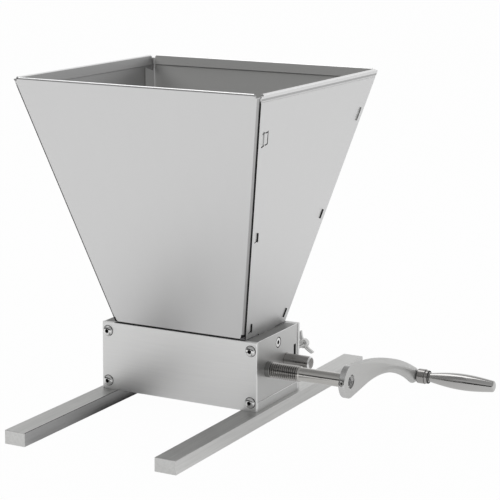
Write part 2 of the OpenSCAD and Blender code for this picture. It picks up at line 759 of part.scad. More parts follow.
// Flanged bronze bush of the idle roller
module idle_bush() {
    end_x = roller_len / 2;
    color(bronze) difference() {
        union() {
            rod_x(end_x - idle_bush_len + sink, axle_y, idle_z, idle_bush_d - 2 * press_fit,
                  idle_bush_len + bush_flange_t / 2);
            rod_x(end_x + sink, axle_y, idle_z, idle_flange_d, bush_flange_t);
        }
        rod_x(end_x - 2 * idle_bush_len, axle_y, idle_z, core_d + 2 * run_fit, 4 * idle_bush_len);
    }
}

module idle_bush_right() { idle_bush(); }
module idle_bush_left() { mirror([1, 0, 0]) idle_bush(); }

// One wing: a paddle that sweeps away from the hub, in radius and height
module wing_profile() {
    tip_r = wing_hub_len * 0.3;
    tip = [wing_span / 2 - tip_r, wing_hub_len + 1];
    translate(tip) circle(tip_r);
    polygon([[0, 1], [wing_hub_d / 2, 1], [tip.x + tip_r * 0.8, tip.y - tip_r * 0.6],
             [tip.x - tip_r * 0.8, tip.y + tip_r * 0.6], [0, wing_hub_len * 0.75]]);
}

// Wing screw along Y: threaded shank, domed hub and two wings
module wing_screw() {
    dome_r = wing_hub_d / 2;
    color(bright) {
        rod_y(mid_x, lock_tip_y, lock_z, lock_d, wing_hub_y - lock_tip_y + 1);
        translate([mid_x, wing_hub_y, lock_z]) rotate([-90, 0, 0]) union() {
            rotate_extrude() union() {
                square([dome_r, wing_hub_len - 2]);
                translate([0, wing_hub_len - 2]) intersection() {
                    translate([0, 1 - dome_r]) circle(dome_r * 1.2);
                    square([dome_r, 2]);
                }
            }
            rotate([0, 0, wing_turn]) for (s = [0, 1]) mirror([s, 0, 0])
                translate([0, wing_t / 2, 0]) rotate([90, 0, 0]) linear_extrude(wing_t) wing_profile();
        }
    }
}

module wing_screw_right() { wing_screw(); }
module wing_screw_left() { mirror([1, 0, 0]) wing_screw(); }

hopper_front();
hopper_back();
hopper_left();
hopper_right();
front_plate();
back_plate();
end_plate_left();
end_plate_right();
base_rail_left();
base_rail_right();
front_plate_screws();
back_plate_screws();
hopper_screws();
hopper_nuts();
rail_bolts();
drive_bush_left();
drive_bush_right();
lock_nuts();
drive_roller();
drive_shaft();
crank_arm();
crank_set_screw();
grip_spindle();
grip_ferrule();
crank_grip();
gap_axle();
idle_roller();
idle_bush_left();
idle_bush_right();
wing_screw_left();
wing_screw_right();
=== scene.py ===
"""Looks of a hand grain mill: folded sheet hopper, bolted roller box, rails and curved crank."""
import json
import math

import bpy
import bmesh
from bpy.props import FloatProperty, FloatVectorProperty, IntProperty, PointerProperty
from mathutils import Matrix, Vector


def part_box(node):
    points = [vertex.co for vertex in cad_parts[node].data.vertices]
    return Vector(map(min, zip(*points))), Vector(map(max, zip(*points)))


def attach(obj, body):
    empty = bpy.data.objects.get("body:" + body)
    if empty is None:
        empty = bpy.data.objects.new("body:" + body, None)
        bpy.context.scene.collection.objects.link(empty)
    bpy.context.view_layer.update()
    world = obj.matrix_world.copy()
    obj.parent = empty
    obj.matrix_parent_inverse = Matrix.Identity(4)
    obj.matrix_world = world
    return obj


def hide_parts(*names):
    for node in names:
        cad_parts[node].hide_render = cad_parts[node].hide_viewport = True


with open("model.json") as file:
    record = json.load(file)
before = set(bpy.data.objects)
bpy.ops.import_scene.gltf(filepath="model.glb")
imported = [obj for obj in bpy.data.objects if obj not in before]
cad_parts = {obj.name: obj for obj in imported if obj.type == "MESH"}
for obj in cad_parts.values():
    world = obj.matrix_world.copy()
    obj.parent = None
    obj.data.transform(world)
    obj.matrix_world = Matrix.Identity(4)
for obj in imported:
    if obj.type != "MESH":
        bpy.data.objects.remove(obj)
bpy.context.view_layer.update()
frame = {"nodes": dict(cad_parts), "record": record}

bl_info = {
    "name": "Hand Grain Mill",
    "version": (1, 0, 0),
    "blender": (4, 5, 0),
    "location": "3D View > Sidebar > Grain Mill",
    "description": "Builds the dressed pieces of a hand grain mill round its CAD frame",
    "category": "Object",
}

MM = 0.001
MM_IN_METRE = 1000
SQUARE_MM = MM * MM
# Cosines past which a face counts as facing a direction, and as lying flush with a wall
FACING = 0.9
FLUSH = 0.99
ALONG_X = (1, 0, 0)

NODE_BODY = {n: body for body, nodes in frame["record"]["behaviour"]["bodies"].items() for n in nodes}
NODE_SLOT = {part["node"]: part["material_slot"] for part in frame["record"]["subparts"]}
# Nodes whose finish isn't the one that their slot names
NODE_FINISH = {"end_plate_left": "end_plate", "end_plate_right": "end_plate", "gap_axle": "axle_steel",
               "grip_ferrule": "axle_steel", "crank_set_screw": "thread_flank",
               "wing_screw_left": "wing_steel", "wing_screw_right": "wing_steel"}


def ends(node, axis=0):
    """The lowest and the highest place of a CAD node along one axis, in millimetres."""
    return [corner[axis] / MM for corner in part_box(node)]


def middle(node, axis):
    """Middle of a CAD node along one axis, in millimetres."""
    first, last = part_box(node)
    return (first[axis] + last[axis]) / 2 / MM


# Places of the axes in millimetres, read from the frame where a node lies about them
DRIVE_Y = middle("drive_shaft", 1)
AXIS_Z = middle("drive_shaft", 2)
AXLE_Y = middle("idle_roller", 1)
IDLE_Z = middle("idle_roller", 2)
GRIP_Y = middle("crank_grip", 1)
GRIP_Z = middle("crank_grip", 2)
ARM_X = middle("crank_arm", 0)
SCREW_Y = middle("hopper_screws", 1)
SCREW_Z = middle("hopper_screws", 2)
LOCK_X = 72.0
LOCK_Z = 49.0


# Sizes and colours a user would change

LENGTH = {"unit": "LENGTH", "precision": 5}
COLOUR = {"subtype": "COLOR", "size": 3}


class GrainMillSizes(bpy.types.PropertyGroup):
    """Sizes of the details that the CAD solids leave plain."""

    pitch: FloatProperty(
        name="Shaft pitch", description="Pitch of the drive shaft's thread", default=2.0 * MM, **LENGTH)
    fine_pitch: FloatProperty(
        name="Lock pitch", description="Pitch of the wing screws' thread", default=0.8 * MM, **LENGTH)
    hub_edge: FloatProperty(
        name="Hub edge", description="Rounding of the crank's flat hub end", default=0.7 * MM, **LENGTH)
    socket: FloatProperty(
        name="Socket", description="Width across the flats of the screw sockets", default=3.5 * MM, **LENGTH)
    turns: IntProperty(name="Turned faces", description="Faces round a turned piece", default=72, min=24)


class GrainMillFinish(bpy.types.PropertyGroup):
    """Colours of the metals, and of the painted highlights and shade on them."""

    hopper: FloatVectorProperty(
        name="Hopper sheet", description="Satin stainless sheet", default=(0.70, 0.70, 0.70), **COLOUR)
    plate: FloatVectorProperty(
        name="Box plates", description="Brushed plates of the box", default=(0.81, 0.81, 0.805), **COLOUR)
    rail: FloatVectorProperty(
        name="Rails", description="Brushed bars under the box", default=(0.68, 0.68, 0.67), **COLOUR)
    shaft: FloatVectorProperty(
        name="Shafts", description="Ground steel of the shafts", default=(0.58, 0.57, 0.55), **COLOUR)
    screw: FloatVectorProperty(
        name="Screws", description="Bright plated screws", default=(0.74, 0.74, 0.735), **COLOUR)
    # Darker than the box plates: painted shade for the side the end plates face
    end_plate: FloatVectorProperty(
        name="End plates", description="Thick brushed end plates", default=(0.60, 0.60, 0.595), **COLOUR)
    # Also darker painted shade on the drive thread's flanks
    axle: FloatVectorProperty(
        name="Axle", description="Steel of axle, ferrule and thread", default=(0.42, 0.41, 0.40), **COLOUR)
    # Also the drive shaft's end face, painted lighter than the shaft
    wing: FloatVectorProperty(
        name="Wing screws", description="Wing screws and hub rim", default=(0.66, 0.66, 0.655), **COLOUR)
    # Painted highlight on rolled rims, plate bevels and shaft ends
    rim: FloatVectorProperty(
        name="Rim", description="Painted highlight on rims, edges", default=(0.96, 0.96, 0.96), **COLOUR)
    # Painted shade on bends, creases, rim strips and the inner sides of hopper panels and rails
    fold: FloatVectorProperty(
        name="Folds", description="Painted shade on bends, inner sides", default=(0.44, 0.44, 0.44), **COLOUR)
    # Painted shade inside the hopper
    inner: FloatVectorProperty(
        name="Inner sheet", description="Painted shade inside the hopper", default=(0.62, 0.62, 0.61), **COLOUR)
    # Painted sheen on the band under the rolled rims
    hem: FloatVectorProperty(
        name="Hem", description="Painted sheen under the rolled rims", default=(0.76, 0.76, 0.76), **COLOUR)
    # Painted shade on plate tops under the hopper, the shaft's neck and the recessed set screw
    shaded: FloatVectorProperty(
        name="Shaded", description="Painted shade: plate tops, neck, screw", default=(0.26, 0.26, 0.255), **COLOUR)
    # Near-black painted shade in cut edges, slits, sockets, holes and screw seats
    oxide: FloatVectorProperty(
        name="Black shade", description="Painted shade in edges, holes", default=(0.02, 0.02, 0.02), **COLOUR)
    # Black fasteners, and dark painted shade in thread roots, grooves and slots
    dark: FloatVectorProperty(
        name="Dark steel", description="Black fasteners, painted shade in roots", default=(0.10, 0.10, 0.10), **COLOUR)
    roller: FloatVectorProperty(
        name="Rollers", description="Blued steel of the rollers", default=(0.15, 0.15, 0.155), **COLOUR)
    bronze: FloatVectorProperty(
        name="Bronze", description="Bronze bushes", default=(0.45, 0.29, 0.12), **COLOUR)
    casting: FloatVectorProperty(
        name="Casting", description="Satin cast crank arm", default=(0.66, 0.66, 0.65), **COLOUR)
    grip: FloatVectorProperty(
        name="Grip", description="Polished grip", default=(0.54, 0.535, 0.525), **COLOUR)


class GrainMillSettings(bpy.types.PropertyGroup):
    """All settings of the mill."""

    sizes: PointerProperty(type=GrainMillSizes)
    finish: PointerProperty(type=GrainMillFinish)


def settings():
    """The settings kept on the scene."""
    return bpy.context.scene.grain_mill


# Shader maths as Python expressions

class Wire:
    """A socket in a node tree that takes part in plain arithmetic."""

    def __init__(self, finish, socket):
        self.finish = finish
        self.socket = socket

    def maths(self, operation, first, second=0.0):
        return self.finish.add("ShaderNodeMath", {"operation": operation}, {0: first, 1: second})[0]

    def __add__(self, other):
        return self.maths("ADD", self, other)

    __radd__ = __add__

    def __sub__(self, other):
        return self.maths("SUBTRACT", self, other)

    def __rsub__(self, other):
        return self.maths("SUBTRACT", other, self)

    def __mul__(self, other):
        return self.maths("MULTIPLY", self, other)

    __rmul__ = __mul__

    def larger(self, other):
        return self.maths("MAXIMUM", self, other)

    def square_root(self):
        return self.maths("SQRT", self)


class Outputs:
    """The outputs of a node, by number or name."""

    def __init__(self, finish, node):
        self.finish = finish
        self.node = node

    def __getitem__(self, key):
        return Wire(self.finish, self.node.outputs[key])


class Finish:
    """One procedural material, or the world's tree, built node by node."""

    # Colour sockets of a Mix node, which share their names with others
    first_colour = 6
    second_colour = 7
    mixed_colour = 2

    def __init__(self, name=None, tree=None):
        if tree is None:
            self.material = bpy.data.materials.new(name)
            self.material.use_nodes = True
            tree = self.material.node_tree
        self.tree = tree
        self.tree.nodes.clear()
        place = self.add("ShaderNodeTexCoord")
        self.place = place["Object"]
        self.way = place["Generated"]

    def add(self, kind, options=None, inputs=None):
        """Adds a node, sets its options first and then its inputs, and returns its outputs as wires."""
        node = self.tree.nodes.new(kind)
        for key, value in (options or {}).items():
            setattr(node, key, value)
        for key, value in (inputs or {}).items():
            if isinstance(value, Wire):
                self.tree.links.new(value.socket, node.inputs[key])
            else:
                node.inputs[key].default_value = value
        return Outputs(self, node)

    def step(self, value, start, stop):
        """A smooth rise from 0 to 1 between two values."""
        return self.add("ShaderNodeMapRange", {"interpolation_type": "SMOOTHSTEP"},
                        {"Value": value, "From Min": start, "From Max": stop})[0]

    def window(self, value, rise, fall):
        """1 between a smooth rise and a smooth fall, each given by its two ends, and 0 outside them."""
        return self.step(value, *rise) * (1.0 - self.step(value, *fall))

    def noise(self, scale, stretch=(1, 1, 1), detail=4.0, rough=0.55):
        """Noise with a scale in waves per millimetre, stretched along the axes."""
        spread = [scale * MM_IN_METRE / s for s in stretch]
        place = self.add("ShaderNodeMapping", None, {"Vector": self.place, "Scale": spread})["Vector"]
        return self.add("ShaderNodeTexNoise", None, {"Vector": place, "Scale": 1.0, "Detail": detail,
                                                     "Roughness": rough})[0]

    def tint(self, colour, light, amount):
        """The colour made darker and lighter by a wire that runs from 0 to 1."""
        dim = [c * (1 - amount) for c in colour] + [1]
        lit = [min(c * (1 + amount), 1) for c in colour] + [1]
        mix = self.add("ShaderNodeMix", {"data_type": "RGBA"},
                       {"Factor": light, self.first_colour: dim, self.second_colour: lit})
        return mix[self.mixed_colour]

    def bump(self, height, strength, distance):
        return self.add("ShaderNodeBump", None, {"Height": height, "Strength": strength,
                                                 "Distance": distance})["Normal"]

    def close(self, **values):
        """Ends the tree in one metal shader; its inputs are named with underscores for spaces."""
        inputs = {key.replace("_", " "): value for key, value in values.items()}
        shader = self.add("ShaderNodeBsdfPrincipled", None, inputs)
        self.add("ShaderNodeOutputMaterial", None, {"Surface": shader["BSDF"]})
        return self.material

    def close_mixed(self, share, first, second, output="ShaderNodeOutputMaterial"):
        """Ends the tree in a mix of two shaders."""
        mix = self.add("ShaderNodeMixShader", None, {0: share, 1: first, 2: second})
        self.add(output, None, {"Surface": mix["Shader"]})


def brushed(name, colour, grain, rough, contrast=0.08, fine=2.2):
    """Metal with fine lines along one axis: grain gives the stretch of the lines on X, Y and Z."""
    f = Finish(name)
    lines = f.noise(fine, stretch=grain, detail=5.0, rough=0.6)
    cloud = f.noise(0.018, detail=2.0)
    light = lines * 0.7 + cloud * 0.3
    return f.close(Metallic=0.9,
                   Base_Color=f.tint(colour, light, contrast),
                   Roughness=(lines - 0.5) * 0.22 + (cloud - 0.5) * 0.10 + rough,
                   Normal=f.bump(lines, strength=0.06, distance=0.0002))


def satin(name, colour, rough):
    """Sheet with a fine even tooth and faint rolling lines."""
    f = Finish(name)
    tooth = f.noise(1.6, rough=0.6)
    roll = f.noise(0.05, stretch=(1, 1, 6), detail=3.0)
    light = tooth * 0.5 + roll * 0.5
    return f.close(Metallic=0.9,
                   Base_Color=f.tint(colour, light, 0.05),
                   Roughness=(tooth - 0.5) * 0.12 + (roll - 0.5) * 0.08 + rough,
                   Normal=f.bump(tooth, strength=0.035, distance=0.0002))


def polished(name, colour, rough, grain, contrast=0.06, bump=0.03):
    """Turned and polished metal with faint tool lines."""
    f = Finish(name)
    lines = f.noise(1.4, stretch=grain, detail=3.0, rough=0.6)
    cloud = f.noise(0.08, detail=2.0)
    return f.close(Metallic=1.0,
                   Base_Color=f.tint(colour, lines * 0.5 + cloud * 0.5, contrast),
                   Roughness=(lines - 0.5) * 0.10 + (cloud - 0.5) * 0.08 + rough,
                   Normal=f.bump(lines, strength=bump, distance=0.0001))


def cast(name, colour, rough):
    """Satin casting with a soft pebbled skin."""
    f = Finish(name)
    skin = f.noise(0.55, detail=3.0, rough=0.5)
    cloud = f.noise(0.03, detail=2.0)
    return f.close(Metallic=0.85,
                   Base_Color=f.tint(colour, skin * 0.4 + cloud * 0.6, 0.07),
                   Roughness=(skin - 0.5) * 0.14 + rough,
                   Normal=f.bump(skin, strength=0.10, distance=0.0003))


def painted_shade(name, colour):
    """Near-black painted shade in cut edges, slits, sockets and recesses, with a rough speckled skin."""
    f = Finish(name)
    scorch = f.noise(0.9, detail=3.0)
    return f.close(Metallic=0.3, Specular_IOR_Level=0.2,
                   Base_Color=f.tint(colour, scorch, 0.35),
                   Roughness=(scorch - 0.5) * 0.2 + 0.7,
                   Normal=f.bump(scorch, strength=0.2, distance=0.0002))


# Each finish has its maker, the name of its colour and the maker's other values
FINISHES = {
    "hopper_sheet": (satin, "hopper", 0.42),
    # Painted shade inside the hopper and on its side panels' inner faces
    "inner_sheet": (satin, "inner", 0.42),
    "inner_side": (satin, "fold", 0.42),
    # A painted sheen on the band under the rolled rims
    "hem_sheet": (satin, "hem", 0.40),
    # Painted shade on bends, creases and rim strips
    "fold_shade": (satin, "fold", 0.40),
    "box_plate": (brushed, "plate", (30, 1, 1), 0.40, 0.10, 0.5),
    # The plate metal painted darker, as shade for the side the end plates face
    "end_plate": (brushed, "end_plate", (1, 1, 14), 0.40, 0.10, 0.7),
    # Painted shade on plate tops beside the hopper
    "shaded_top": (brushed, "shaded", (1, 14, 1), 0.42),
    "rail_bar": (brushed, "rail", (1, 40, 1), 0.42, 0.30, 0.55),
    # Painted shade on the rails' inner sides
    "rail_side": (brushed, "fold", (1, 40, 1), 0.42, 0.30, 0.55),
    "roller_steel": (brushed, "roller", (12, 1, 1), 0.38),
    "bright_screw": (polished, "screw", 0.15, (1, 1, 1)),
    "dark_screw": (polished, "dark", 0.40, (1, 1, 1)),
    "bronze_bush": (polished, "bronze", 0.34, (1, 1, 1)),
    "wing_steel": (polished, "wing", 0.18, (1, 1, 1)),
    "shaft_steel": (polished, "shaft", 0.17, (0.6, 3, 3)),
    "axle_steel": (polished, "axle", 0.18, (0.6, 3, 3)),
    # Painted shade on the shaft's neck and the recessed set screw
    "thread_flank": (polished, "shaded", 0.20, (0.6, 3, 3)),
    "polished_grip": (polished, "grip", 0.11, (0.8, 3, 3)),
    # Painted highlights on rims, bevels and chamfers
    "rim_polish": (polished, "rim", 0.34, (9, 9, 9), 0.04, 0.004),
    "hub_rim": (polished, "wing", 0.26, (3, 3, 3), 0.05, 0.01),
    "crank_steel": (cast, "casting", 0.46),
    # Near-black painted shade in edges, slits, sockets and holes
    "cut_edge": (painted_shade, "oxide"),
    # Dark painted shade in thread roots, grooves and slots
    "thread_root": (painted_shade, "dark"),
}


def finish_for(slot):
    """The material of one of the finishes, made once."""
    kept = bpy.data.materials.get(slot)
    if kept and kept.get("dressed"):
        return kept
    if kept:
        kept.name = slot + "_cad"
    maker, colour, *values = FINISHES[slot]
    material = maker(slot, getattr(settings().finish, colour), *values)
    material["dressed"] = True
    return material


def node_finish(node):
    """The name of a CAD node's finish."""
    return NODE_FINISH.get(node, NODE_SLOT[node])


# Modelling steps shared by the pieces

def deselect_all():
    """Leaves edit mode and selects nothing."""
    if bpy.context.object and bpy.context.object.mode != "OBJECT":
        bpy.ops.object.mode_set(mode="OBJECT")
    bpy.ops.object.select_all(action="DESELECT")


def added(operator, **sizes):
    """The new mesh that an operator adds."""
    deselect_all()
    operator(**sizes)
    return bpy.context.object


def linked(name, data):
    """A new object in the scene."""
    obj = bpy.data.objects.new(name, data)
    bpy.context.scene.collection.objects.link(obj)
    return obj


def make_active(obj):
    deselect_all()
    obj.select_set(True)
    bpy.context.view_layer.objects.active = obj
    return obj


def apply_modifier(obj, kind, **options):
    """Adds a modifier with its options and applies it."""
    make_active(obj)
    bpy.ops.object.modifier_add(type=kind)
    modifier = obj.modifiers[-1]
    for key, value in options.items():
        setattr(modifier, key, value)
    bpy.ops.object.modifier_apply(modifier=modifier.name)
    return obj


def smooth(obj, angle=32):
    """Smooth shading between faces that meet at a small angle, led by the large flat ones."""
    make_active(obj)
    bpy.ops.object.shade_smooth_by_angle(angle=math.radians(angle))
    return apply_modifier(obj, "WEIGHTED_NORMAL", weight=100, keep_sharp=True)


def edit_all(obj):
    """Opens a mesh in edit mode with all of it selected."""
    make_active(obj)
    bpy.ops.object.mode_set(mode="EDIT")
    bpy.ops.mesh.select_all(action="SELECT")


def close_edit():
    bpy.ops.object.mode_set(mode="OBJECT")


def put(obj, **place):
    """Gives a piece a place, turn or scale and puts it into the mesh."""
    for key, value in place.items():
        setattr(obj, key, value)
    make_active(obj)
    bpy.ops.object.transform_apply(location=True, rotation=True, scale=True)
    return obj


def merge(obj, distance):
    """Merges doubles, drops loose points and edges and turns the faces outward."""
    edit_all(obj)
    bpy.ops.mesh.remove_doubles(threshold=distance)
    bpy.ops.mesh.delete_loose()
    bpy.ops.mesh.select_all(action="SELECT")
    bpy.ops.mesh.normals_make_consistent(inside=False)
    close_edit()
    return obj


def join(parts):
    """Joins several meshes into the first."""
    deselect_all()
    for part in parts:
        part.select_set(True)
    bpy.context.view_layer.objects.active = parts[0]
    bpy.ops.object.join()
    return parts[0]


def copied(obj):
    """A copy with its own mesh."""
    return linked(obj.name, obj.data.copy())


def carve(obj, tool):
    """Cuts a tool's shape out of a piece; the cut takes the tool's finish."""
    apply_modifier(obj, "BOOLEAN", object=tool, operation="DIFFERENCE", solver="EXACT",
                   material_mode="TRANSFER")
    bpy.data.objects.remove(tool)
    return obj


def paint(obj, finish):
    obj.data.materials.clear()
    obj.data.materials.append(finish_for(finish))
    return obj


def chain(points):
    """A new mesh in edit mode: one line through the points, extruded step by step."""
    obj = added(bpy.ops.mesh.primitive_plane_add, size=1)
    bpy.ops.object.mode_set(mode="EDIT")
    bpy.ops.mesh.merge(type="CENTER")
    bpy.ops.transform.translate(value=points[0])
    for before, after in zip(points, points[1:]):
        bpy.ops.mesh.extrude_vertices_move(TRANSFORM_OT_translate={"value": after - before})
    bpy.ops.mesh.select_all(action="SELECT")
    return obj


def turned(profile, place=(0, 0, 0), swing=0.0):
    """A profile of places along X and radii, spun about X, swung about Z and put in place."""
    obj = chain([Vector((along, 0, radius)) for along, radius in profile])
    bpy.ops.mesh.spin(steps=settings().sizes.turns, angle=math.tau, center=(0, 0, 0), axis=ALONG_X)
    close_edit()
    merge(obj, 0.002)
    return put(obj, rotation_euler=(0, 0, swing), location=place)


def threaded(start, stop, crest, root, pitch, steps=48):
    """A closed length of screw thread about X."""
    flank = (crest - root) * math.tan(math.radians(30))
    flat = max(pitch - 2 * flank, 0.2 * pitch)
    valley = flat * 0.6
    marks = ((0, root), (valley / 2, root), (valley / 2 + flank, crest),
             (pitch - valley / 2 - flank, crest), (pitch - valley / 2, root), (pitch, root))
    obj = chain([Vector((start - pitch + along, 0, radius)) for along, radius in marks])
    close_edit()
    count = math.ceil((stop - start) / pitch) + 2
    apply_modifier(obj, "SCREW", axis="X", angle=math.tau, screw_offset=pitch, iterations=count, steps=steps,
                   render_steps=steps, use_merge_vertices=True, merge_threshold=0.001)
    for place, way in ((start, -1), (stop, 1)):
        edit_all(obj)
        bpy.ops.mesh.bisect(plane_co=(place, 0, 0), plane_no=(way, 0, 0), use_fill=True, clear_outer=True)
        close_edit()
    return merge(obj, 0.001)


def rod(centre, way, radius, length, sides=48):
    """A straight cutting rod from a place along a direction."""
    obj = added(bpy.ops.mesh.primitive_cylinder_add, vertices=sides, radius=radius, depth=length)
    return put(obj, rotation_euler=Vector(way).to_track_quat("Z", "Y").to_euler(),
               location=Vector(centre) + Vector(way).normalized() * length / 2)


def dress(obj, node):
    """Lets a finished piece stand for a CAD node, with that node's body and slot."""
    obj.name = node + "_dressed"
    obj.data.name = obj.name
    if not obj.data.materials:
        paint(obj, node_finish(node))
    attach(obj, NODE_BODY[node])
    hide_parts(node)
    return obj


def finished(obj, node, angle=32):
    """Ends a piece that was modelled in millimetres."""
    smooth(put(obj, scale=(MM, MM, MM)), angle)
    return dress(obj, node)


def clean_copy(node):
    """A merged copy of a CAD node's loose triangles."""
    obj = copied(frame["nodes"][node])
    obj.data.materials.clear()
    edit_all(obj)
    bpy.ops.mesh.remove_doubles(threshold=2e-6)
    bpy.ops.mesh.dissolve_limited(angle_limit=math.radians(0.5))
    close_edit()
    return obj


def split_faces(obj, cuts):
    """Splits the faces of a piece along planes through places in metres, with no change of shape."""
    for place, way in cuts:
        edit_all(obj)
        bpy.ops.mesh.bisect(plane_co=place, plane_no=way)
        close_edit()
    return obj


def mark(obj, **tests):
    """Gives the faces that pass each test the finish that it is named for; a later one goes over."""
    for finish, test in tests.items():
        obj.data.materials.append(finish_for(finish))
        index = len(obj.data.materials) - 1
        for face in obj.data.polygons:
            if test(face):
                face.material_index = index
    return obj


def marked_copy(node, cuts=(), **marks):
    """A copy of a CAD node with its finish, and the finishes of marked faces."""
    return mark(paint(split_faces(clean_copy(node), cuts), node_finish(node)), **marks)


def carry_over(node, cuts=(), **marks):
    """A CAD node whose shape is right, with clean normals and its finishes."""
    return dress(smooth(marked_copy(node, cuts, **marks)), node)


def off_line(face, y=0.0, z=0.0):
    """Distance of a face's middle from a line along X."""
    return math.hypot(face.center.y - y, face.center.z - z)


# The stage

class GRAINMILL_OT_stage(bpy.types.Operator):
    """Sets the floor, the soft light and the camera"""

    bl_idname = "grainmill.stage"
    bl_label = "Stage"

    def execute(self, context):
        self.camera(context)
        self.floor()
        self.flag()
        self.world(context)
        self.softbox()
        return {"FINISHED"}

    def camera(self, context):
        scale = 0.855
        distance = 1866.08 * scale * MM
        azimuth = math.radians(27.76)
        elevation = math.radians(11.96)
        roll = math.radians(0.46)
        across = 52.52 * scale * MM
        rise = 146.32 * scale * MM
        floor_to_box = 12 * MM
        focal_pixels = 1769.17
        frame_pixels = 500
        back = Vector((math.sin(azimuth) * math.cos(elevation), -math.cos(azimuth) * math.cos(elevation),
                       math.sin(elevation)))
        flat = Vector((math.cos(azimuth), math.sin(azimuth), 0))
        rising = back.cross(flat)
        right = flat * math.cos(roll) + rising * math.sin(roll)
        up = rising * math.cos(roll) - flat * math.sin(roll)
        data = bpy.data.cameras.new("photo_camera")
        data.sensor_width = 36
        data.lens = focal_pixels * data.sensor_width / frame_pixels
        data.clip_end = 100
        camera = linked("photo_camera", data)
        turn = Matrix((right, up, back)).transposed().to_4x4()
        place = back * distance + right * across + up * rise + Vector((0, 0, floor_to_box))
        camera.matrix_world = Matrix.Translation(place) @ turn
        context.scene.camera = camera
        context.scene.view_settings.view_transform = "Standard"

    def floor(self):
        """White paper that keeps shadows; metal mirrors a darker floor with a painted shadow round the mill.
        """
        paper_grey = 0.82
        glow_share = 0.98
        below_rails = 0.4 * MM
        floor = added(bpy.ops.mesh.primitive_grid_add, x_subdivisions=8, y_subdivisions=8, size=60,
                      location=(0, 0, -below_rails))
        floor.name = "floor"
        f = Finish("floor_paper")
        path = f.add("ShaderNodeLightPath")
        seen = path["Is Camera Ray"].larger(path["Is Glossy Ray"].larger(path["Is Transmission Ray"]))
        level = path["Is Camera Ray"].larger(self.mirrored_floor(f))
        paper = f.add("ShaderNodeBsdfDiffuse", None, {"Color": (paper_grey, paper_grey, paper_grey, 1)})
        glow = f.add("ShaderNodeEmission", None, {"Color": level, "Strength": 1.0})
        f.close_mixed(seen * glow_share, paper["BSDF"], glow["Emission"])
        floor.data.materials.append(f.material)

    def mirrored_floor(self, f):
        """The floor's level in reflections: a painted shadow round the mill, darkest in a strip beside the
        left rail.
        """
        centre = 0.05
        near_level = 0.67
        far_gain = 0.30
        strip_dark = 0.42
        strip_dark_at_box = 0.57
        spot = f.add("ShaderNodeSeparateXYZ", None, {"Vector": f.place})
        across = spot["X"] - centre
        along = spot["Y"] - centre
        reach = (across * across + along * along).square_root()
        open_floor = f.step(reach, 0.08, 0.34) * far_gain + near_level
        depth = f.step(spot["Y"], -0.13, -0.05) * strip_dark_at_box + strip_dark
        beside = f.window(spot["X"], (-0.09, -0.075), (-0.060, -0.035))
        strip = beside * f.step(spot["Y"], -0.19, -0.16) * depth
        return open_floor * (1.0 - strip)

    def flag(self):
        """A glowing grey card at the back left, a painted reflection for the left rail to mirror; the camera
        looks through it.
        """
        grey = 0.52
        card = added(bpy.ops.mesh.primitive_grid_add, x_subdivisions=2, y_subdivisions=2, size=1)
        card.name = "flag_card"
        put(card, scale=(0.30, 0.17, 1), rotation_euler=(math.pi / 2, 0, 0), location=(-0.28, 0.2, 0.125))
        f = Finish("flag_cloth")
        path = f.add("ShaderNodeLightPath")
        card_glow = f.add("ShaderNodeEmission", None, {"Color": (grey, grey, grey, 1), "Strength": 1.0})
        clear = f.add("ShaderNodeBsdfTransparent")
        f.close_mixed(path["Is Glossy Ray"], clear["BSDF"], card_glow["Emission"])
        card.data.materials.append(f.material)

    def world(self, context):
        world = bpy.data.worlds.new("studio")
        context.scene.world = world
        world.use_nodes = True
        f = Finish(tree=world.node_tree)
        path = f.add("ShaderNodeLightPath")
        soft = f.add("ShaderNodeBackground", None, {"Color": self.room_level(f), "Strength": 1.0})
        white = f.add("ShaderNodeBackground", None, {"Color": (1, 1, 1, 1), "Strength": 1.0})
        f.close_mixed(path["Is Camera Ray"], soft[0], white[0], "ShaderNodeOutputWorld")

    def room_level(self, f):
        """The room's level by direction: a dark band in front, a lighter strip over it, a light back."""
        even = 0.42
        band_dark = 0.39
        strip_gain = 0.12
        back_gain = 0.42
        way = f.add("ShaderNodeSeparateXYZ", None, {"Vector": f.way})
        front = f.step(way["X"] * -0.456 + way["Y"] * -0.89, 0.25, 0.75)
        band = f.window(way["Z"], (-0.06, -0.02), (0.24, 0.40))
        strip = f.window(way["Z"], (0.42, 0.48), (0.58, 0.64))
        back = f.step(way["Y"], 0.3, 0.8) * f.window(way["Z"], (-0.1, 0.05), (0.5, 0.75))
        return even - front * band * band_dark + front * strip * strip_gain + back * back_gain

    def softbox(self):
        place = Vector((-0.64, 0.35, 1.6))
        target = Vector((0, 0, 0.12))
        data = bpy.data.lights.new("top_softbox", "AREA")
        data.size = 1.0
        data.energy = 4.5
        lamp = linked("top_softbox", data)
        lamp.location = place
        lamp.rotation_euler = (target - place).to_track_quat("-Z", "Y").to_euler()


